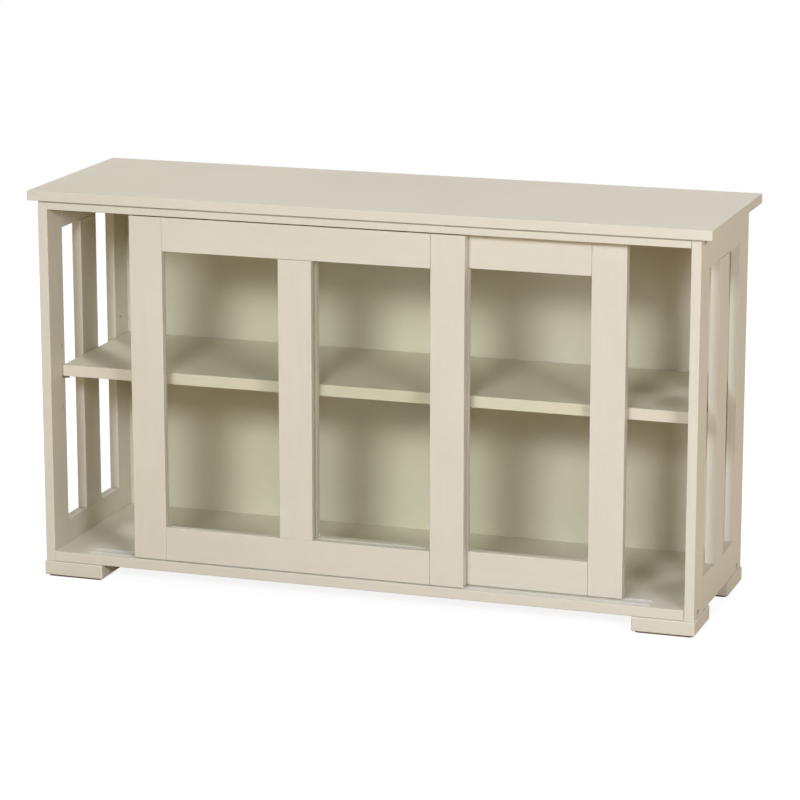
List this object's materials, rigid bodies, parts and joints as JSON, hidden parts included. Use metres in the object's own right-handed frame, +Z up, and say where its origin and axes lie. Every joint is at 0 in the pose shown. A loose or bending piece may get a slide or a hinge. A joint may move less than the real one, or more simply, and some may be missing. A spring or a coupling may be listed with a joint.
{
  "type": "stackable storage cabinet",
  "caption": "Low stackable storage cabinet with slatted open sides, an inner shelf on pins and framed glass doors that slide past each other in tracks, on block feet.",
  "frame": {"origin": "middle of the cabinet's footprint on the floor, under the middle of the top board", "axes": "+X along the width, the doors and the front face -Y, +Z up"},
  "size_m": [1.069, 0.33, 0.61],
  "materials": {
    "painted_board": "satin cream paint on board",
    "glass": "clear, polished",
    "bead_plastic": "moulded, off-white",
    "track_plastic": "extruded, off-white",
    "runner_white": "moulded nylon, white",
    "runner_black": "moulded, black",
    "pad_felt": "pressed felt, dark brown",
    "steel": "dull zinc plated"
  },
  "bodies": {
    "cabinet": {"top_panel": "painted_board", "sub_top": "painted_board", "bottom_panel": "painted_board", "back_panel": "painted_board", "left_side_front_stile": "painted_board", "left_side_rear_stile": "painted_board", "left_side_slat": "painted_board", "left_side_top_rail": "painted_board", "left_side_bottom_rail": "painted_board", "right_side_front_stile": "painted_board", "right_side_rear_stile": "painted_board", "right_side_slat": "painted_board", "right_side_top_rail": "painted_board", "right_side_bottom_rail": "painted_board", "front_left_foot": "painted_board", "front_left_pad": "pad_felt", "left_front_shelf_pin": "steel", "front_right_foot": "painted_board", "front_right_pad": "pad_felt", "right_front_shelf_pin": "steel", "front_bottom_track": "track_plastic", "rear_left_foot": "painted_board", "rear_left_pad": "pad_felt", "left_rear_shelf_pin": "steel", "rear_right_foot": "painted_board", "rear_right_pad": "pad_felt", "right_rear_shelf_pin": "steel", "rear_bottom_track": "track_plastic", "left_bottom_front_screw": "steel", "left_bottom_rear_screw": "steel", "left_top_front_screw": "steel", "left_top_rear_screw": "steel", "right_bottom_front_screw": "steel", "right_bottom_rear_screw": "steel", "right_top_front_screw": "steel", "right_top_rear_screw": "steel"},
    "front_door": {"front_door_left_stile": "painted_board", "front_door_right_stile": "painted_board", "front_door_top_rail": "painted_board", "front_door_bottom_rail": "painted_board", "front_door_mullion": "painted_board", "front_door_glass": "glass", "front_door_glass_bead": "bead_plastic", "front_door_left_bottom_glide": "runner_white", "front_door_left_top_guide": "runner_black", "front_door_right_bottom_glide": "runner_white", "front_door_right_top_guide": "runner_black"},
    "rear_door": {"rear_door_left_stile": "painted_board", "rear_door_right_stile": "painted_board", "rear_door_top_rail": "painted_board", "rear_door_bottom_rail": "painted_board", "rear_door_mullion": "painted_board", "rear_door_glass": "glass", "rear_door_glass_bead": "bead_plastic", "rear_door_left_bottom_glide": "runner_white", "rear_door_left_top_guide": "runner_black", "rear_door_right_bottom_glide": "runner_white", "rear_door_right_top_guide": "runner_black"},
    "shelf": {"shelf": "painted_board"}
  },
  "joints": [
    {"name": "front_door_slide", "type": "slide", "parent": "cabinet", "child": "front_door", "axis": [1, 0, 0], "range_m": [-0.1327, 0.3407]},
    {"name": "rear_door_slide", "type": "slide", "parent": "cabinet", "child": "rear_door", "axis": [1, 0, 0], "range_m": [-0.3732, 0.1002]},
    {"name": "shelf_lift", "type": "slide", "parent": "cabinet", "child": "shelf", "axis": [0, 0, 1], "range_m": [0, 0.25]}
  ]
}
